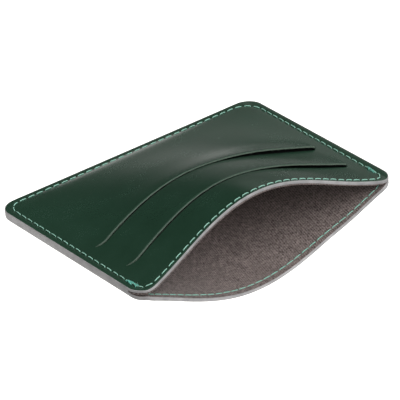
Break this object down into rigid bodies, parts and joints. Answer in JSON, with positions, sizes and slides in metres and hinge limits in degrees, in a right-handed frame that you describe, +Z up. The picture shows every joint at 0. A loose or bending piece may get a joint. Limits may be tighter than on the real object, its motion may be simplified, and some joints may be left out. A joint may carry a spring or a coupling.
{
  "type": "card holder",
  "caption": "Slim leather card holder, suede lined, with painted edges and contrast stitching. Card slits cross the bowed front panel and the main pocket opens along one long side.",
  "frame": {"origin": "bottom centre of the bounding box, on the surface that the holder lies on", "axes": "+X along the closed edge, the pocket's mouth faces -Y, +Z up, away from the surface that the holder lies on"},
  "size_m": [0.1026, 0.0758, 0.0349],
  "materials": {
    "leather": "smooth, lightly glossy green calf leather",
    "suede_lining": "matt taupe suede microfibre",
    "slot_fabric": "matt dark lining fabric",
    "thread": "waxed mint thread",
    "edge_paint": "satin light-grey edge paint"
  },
  "bodies": {
    "root": {"front_leather": "leather", "back_leather": "leather", "front_lining": "suede_lining", "back_lining": "suede_lining", "upper_slot_liner": "slot_fabric", "lower_slot_liner": "slot_fabric", "perimeter_needle_thread": "thread", "perimeter_bobbin_thread": "thread", "front_mouth_needle_thread": "thread", "front_mouth_bobbin_thread": "thread", "back_mouth_needle_thread": "thread", "back_mouth_bobbin_thread": "thread", "perimeter_edge_paint": "edge_paint", "front_mouth_edge_paint": "edge_paint", "back_mouth_edge_paint": "edge_paint"}
  },
  "joints": []
}
